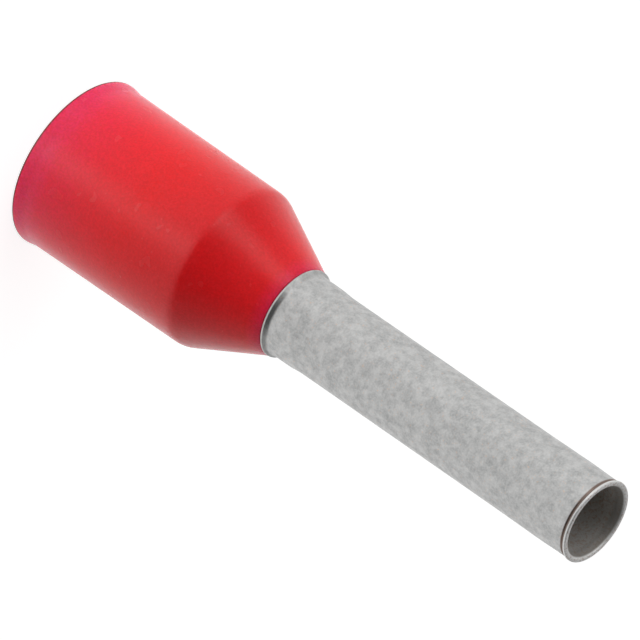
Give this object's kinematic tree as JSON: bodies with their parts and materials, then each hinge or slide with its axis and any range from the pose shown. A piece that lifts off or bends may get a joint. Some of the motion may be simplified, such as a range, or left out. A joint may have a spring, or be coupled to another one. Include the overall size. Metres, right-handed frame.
{
  "type": "insulated wire ferrule",
  "caption": "Insulated wire-end ferrule: a tinned copper sleeve with a flared entry in a red moulded collar, crimped onto stranded wire for a screw or spring terminal.",
  "frame": {"origin": "centre of the collar's mouth, on the plane that the ferrule stands on", "axes": "+Z along the axis from the collar's mouth to the tip of the pin; the part is round, so X and Y are free"},
  "size_m": [0.0036, 0.0036, 0.0139],
  "materials": {
    "collar_plastic": "satin moulded polypropylene, slightly translucent, red",
    "tinned_copper": "matt tin plate on copper, finely mottled"
  },
  "bodies": {
    "root": {"collar": "collar_plastic", "sleeve": "tinned_copper"}
  },
  "joints": []
}
